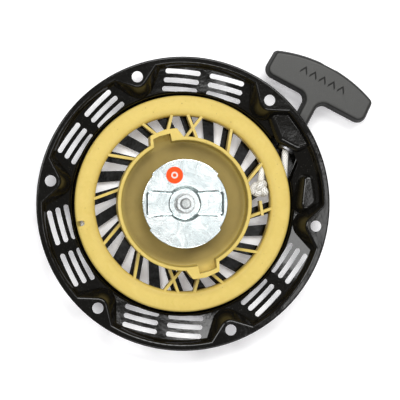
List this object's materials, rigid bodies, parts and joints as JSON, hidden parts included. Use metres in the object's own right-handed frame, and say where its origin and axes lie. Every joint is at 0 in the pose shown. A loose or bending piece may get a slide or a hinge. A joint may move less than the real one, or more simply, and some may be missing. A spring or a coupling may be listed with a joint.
{
  "type": "recoil starter",
  "caption": "Recoil starter for a small engine: slotted pressed dish, rope reel with pawls under a bright guide plate, and a T handle on a cord.",
  "frame": {"origin": "centre of the circle of mounting holes, on the plane of the mounting pads", "axes": "+Z along the reel's axis towards the engine; the handle is pulled in the XY plane, 62.2 degrees from +X towards +Y"},
  "size_m": [0.2761, 0.2445, 0.0505],
  "materials": {
    "black_paint": "gloss black baked paint on pressed steel",
    "zinc_steel": "zinc plated steel, satin",
    "spring_steel": "tempered spring steel, oiled",
    "tan_plastic": "moulded tan gold nylon, satin",
    "rope": "white braided nylon",
    "hard_steel": "hardened steel, matt",
    "bright_plate": "bright zinc plated pressed steel",
    "nut_steel": "bright zinc plated steel",
    "orange_label": "printed paper label",
    "dark_plastic": "moulded dark grey plastic, fine grain"
  },
  "bodies": {
    "housing": {"housing_cover": "black_paint", "centre_post": "zinc_steel", "post_washer": "zinc_steel", "rope_guide": "zinc_steel", "lead_rope": "rope", "plain_washer": "zinc_steel", "lock_washer": "zinc_steel", "stud_nut": "nut_steel"},
    "reel": {"reel_hub": "tan_plastic", "reel_rim": "tan_plastic", "reel_rope": "rope", "reel_knot": "rope", "mainspring": "spring_steel", "spring_retainer": "zinc_steel", "friction_spring": "spring_steel", "pawl_spring_a": "spring_steel", "pawl_spring_b": "spring_steel"},
    "guide": {"guide_plate": "bright_plate", "inspection_sticker": "orange_label"},
    "pawl_a": {"pawl_a": "hard_steel"},
    "pawl_b": {"pawl_b": "hard_steel"},
    "handle": {"handle_grip": "dark_plastic", "handle_rope": "rope", "handle_washer": "zinc_steel", "handle_knot": "rope"}
  },
  "joints": [
    {"name": "reel_turn", "type": "hinge", "parent": "housing", "child": "reel", "pos_m": [0, 0, 0], "axis": [0, 0, 1], "range_deg": [0, 660], "stiffness_Nm_per_rad": 0.05, "springref_deg": -572.96, "deforming": ["reel_rope", "mainspring"]},
    {"name": "handle_pull", "type": "slide", "parent": "housing", "child": "handle", "axis": [0.4664, 0.8846, 0], "range_m": [0, 0.92]},
    {"name": "guide_turn", "type": "hinge", "parent": "reel", "child": "guide", "pos_m": [0, 0, 0], "axis": [0, 0, 1], "range_deg": [-28, 0]},
    {"name": "pawl_a_swing", "type": "hinge", "parent": "reel", "child": "pawl_a", "pos_m": [0.01174, 0.02207, 0.0055], "axis": [0, 0, 1], "range_deg": [-25, 0]},
    {"name": "pawl_b_swing", "type": "hinge", "parent": "reel", "child": "pawl_b", "pos_m": [-0.01174, -0.02207, 0.0055], "axis": [0, 0, 1], "range_deg": [-25, 0]}
  ],
  "couplings": [
    {"joint": "handle_pull", "follows": "reel_turn", "m_per_rad": 0.0797},
    {"joint": "pawl_a_swing", "follows": "guide_turn", "ratio": 0.89286},
    {"joint": "pawl_b_swing", "follows": "guide_turn", "ratio": 0.89286}
  ]
}
